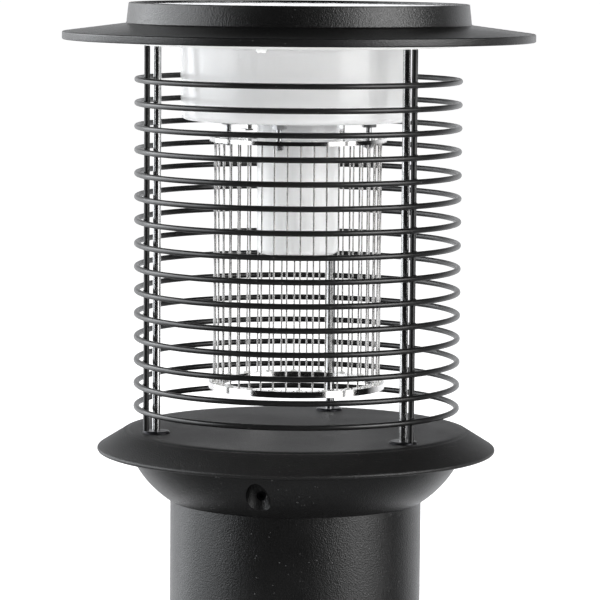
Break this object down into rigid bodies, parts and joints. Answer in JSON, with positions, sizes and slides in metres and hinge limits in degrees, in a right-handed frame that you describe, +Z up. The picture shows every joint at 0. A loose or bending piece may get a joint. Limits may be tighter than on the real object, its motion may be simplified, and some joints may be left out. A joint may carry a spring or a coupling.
{
  "type": "electric bug zapper",
  "caption": "Solar bollard lantern with an electric insect grid round a UV tube, inside a ringed wire guard under a brimmed cap.",
  "frame": {"origin": "centre of the ground flange's underside, on the ground", "axes": "+Z up along the post; the front, with the collar recess, is towards -Y"},
  "size_m": [0.2498, 0.2498, 0.4004],
  "materials": {
    "black_powder_coat": "fine textured satin powder coat",
    "guard_wire_black": "satin black paint over steel wire",
    "polished_chrome": "polished chrome plate",
    "grid_steel": "bright nickel plate",
    "zinc_screw": "bright zinc",
    "black_oxide": "oiled black oxide",
    "white_plate": "satin white moulding",
    "opal_diffuser": "glossy opal acrylic",
    "opal_tube": "milky lamp tube",
    "solar_glass": "clear tempered glass",
    "solar_cell": "dark blue silicon",
    "panel_backing": "white backing sheet",
    "gasket_rubber": "black rubber",
    "tray_plastic": "moulded plastic",
    "battery_wrap": "shrink wrap",
    "board_green": "solder mask",
    "board_white": "white solder mask",
    "winding_tape": "yellow winding tape",
    "capacitor_wrap": "dipped epoxy",
    "lead_red": "PVC lead",
    "led_yellow": "phosphor gel",
    "led_violet": "clear gel over a UV chip",
    "bead_white": "glazed insulator",
    "housing_plastic": "black moulding",
    "button_rubber": "soft black button",
    "spring_steel": "spring wire"
  },
  "bodies": {
    "post": {"ground_flange": "black_powder_coat", "post_tube": "black_powder_coat", "flange_screws": "zinc_screw"},
    "head": {"head_collar": "black_powder_coat", "collar_screws": "black_oxide", "base_dish": "black_powder_coat", "tie_rods": "polished_chrome", "rod_foot_discs": "black_oxide", "cap_shell": "black_powder_coat", "underside_plate": "white_plate", "plate_screws": "zinc_screw", "solar_glass": "solar_glass", "solar_cells": "solar_cell", "solar_backing": "panel_backing", "panel_gasket": "gasket_rubber", "battery_tray": "tray_plastic", "battery_pack": "battery_wrap", "control_board": "board_green", "hv_transformer": "winding_tape", "hv_capacitor": "capacitor_wrap", "internal_leads": "lead_red", "light_board": "board_white", "light_leds": "led_yellow", "diffuser": "opal_diffuser", "diffuser_screws": "zinc_screw", "lamp_holder": "tray_plastic", "uv_tube": "opal_tube", "uv_board": "board_white", "uv_leds": "led_violet", "grid_top_flange": "grid_steel", "grid_bottom_ring": "grid_steel", "live_wires": "grid_steel", "return_wires": "grid_steel", "grid_insulators": "bead_white", "grid_screws": "zinc_screw", "grid_nuts": "zinc_screw", "grid_terminals": "grid_steel", "button_housing": "housing_plastic", "button_spring": "spring_steel", "guard_ring_1": "guard_wire_black", "guard_ring_2": "guard_wire_black", "guard_ring_3": "guard_wire_black", "guard_ring_4": "guard_wire_black", "guard_ring_5": "guard_wire_black", "guard_ring_6": "guard_wire_black", "guard_ring_7": "guard_wire_black", "guard_ring_8": "guard_wire_black", "guard_ring_9": "guard_wire_black", "guard_ring_10": "guard_wire_black", "guard_ring_11": "guard_wire_black", "guard_ring_12": "guard_wire_black", "guard_ring_13": "guard_wire_black", "guard_ring_14": "guard_wire_black", "guard_ring_15": "guard_wire_black", "guard_rod_1": "guard_wire_black", "guard_rod_2": "guard_wire_black", "guard_rod_3": "guard_wire_black"},
    "button": {"power_button": "button_rubber"}
  },
  "joints": [
    {"name": "head_lift", "type": "slide", "parent": "post", "child": "head", "axis": [0, 0, 1], "range_m": [0, 0.03]},
    {"name": "button_press", "type": "slide", "parent": "head", "child": "button", "axis": [0, 0, 1], "range_m": [0, 0.0015], "stiffness_N_per_m": 300, "springref_m": -0.004, "deforming": ["button_spring"]}
  ]
}
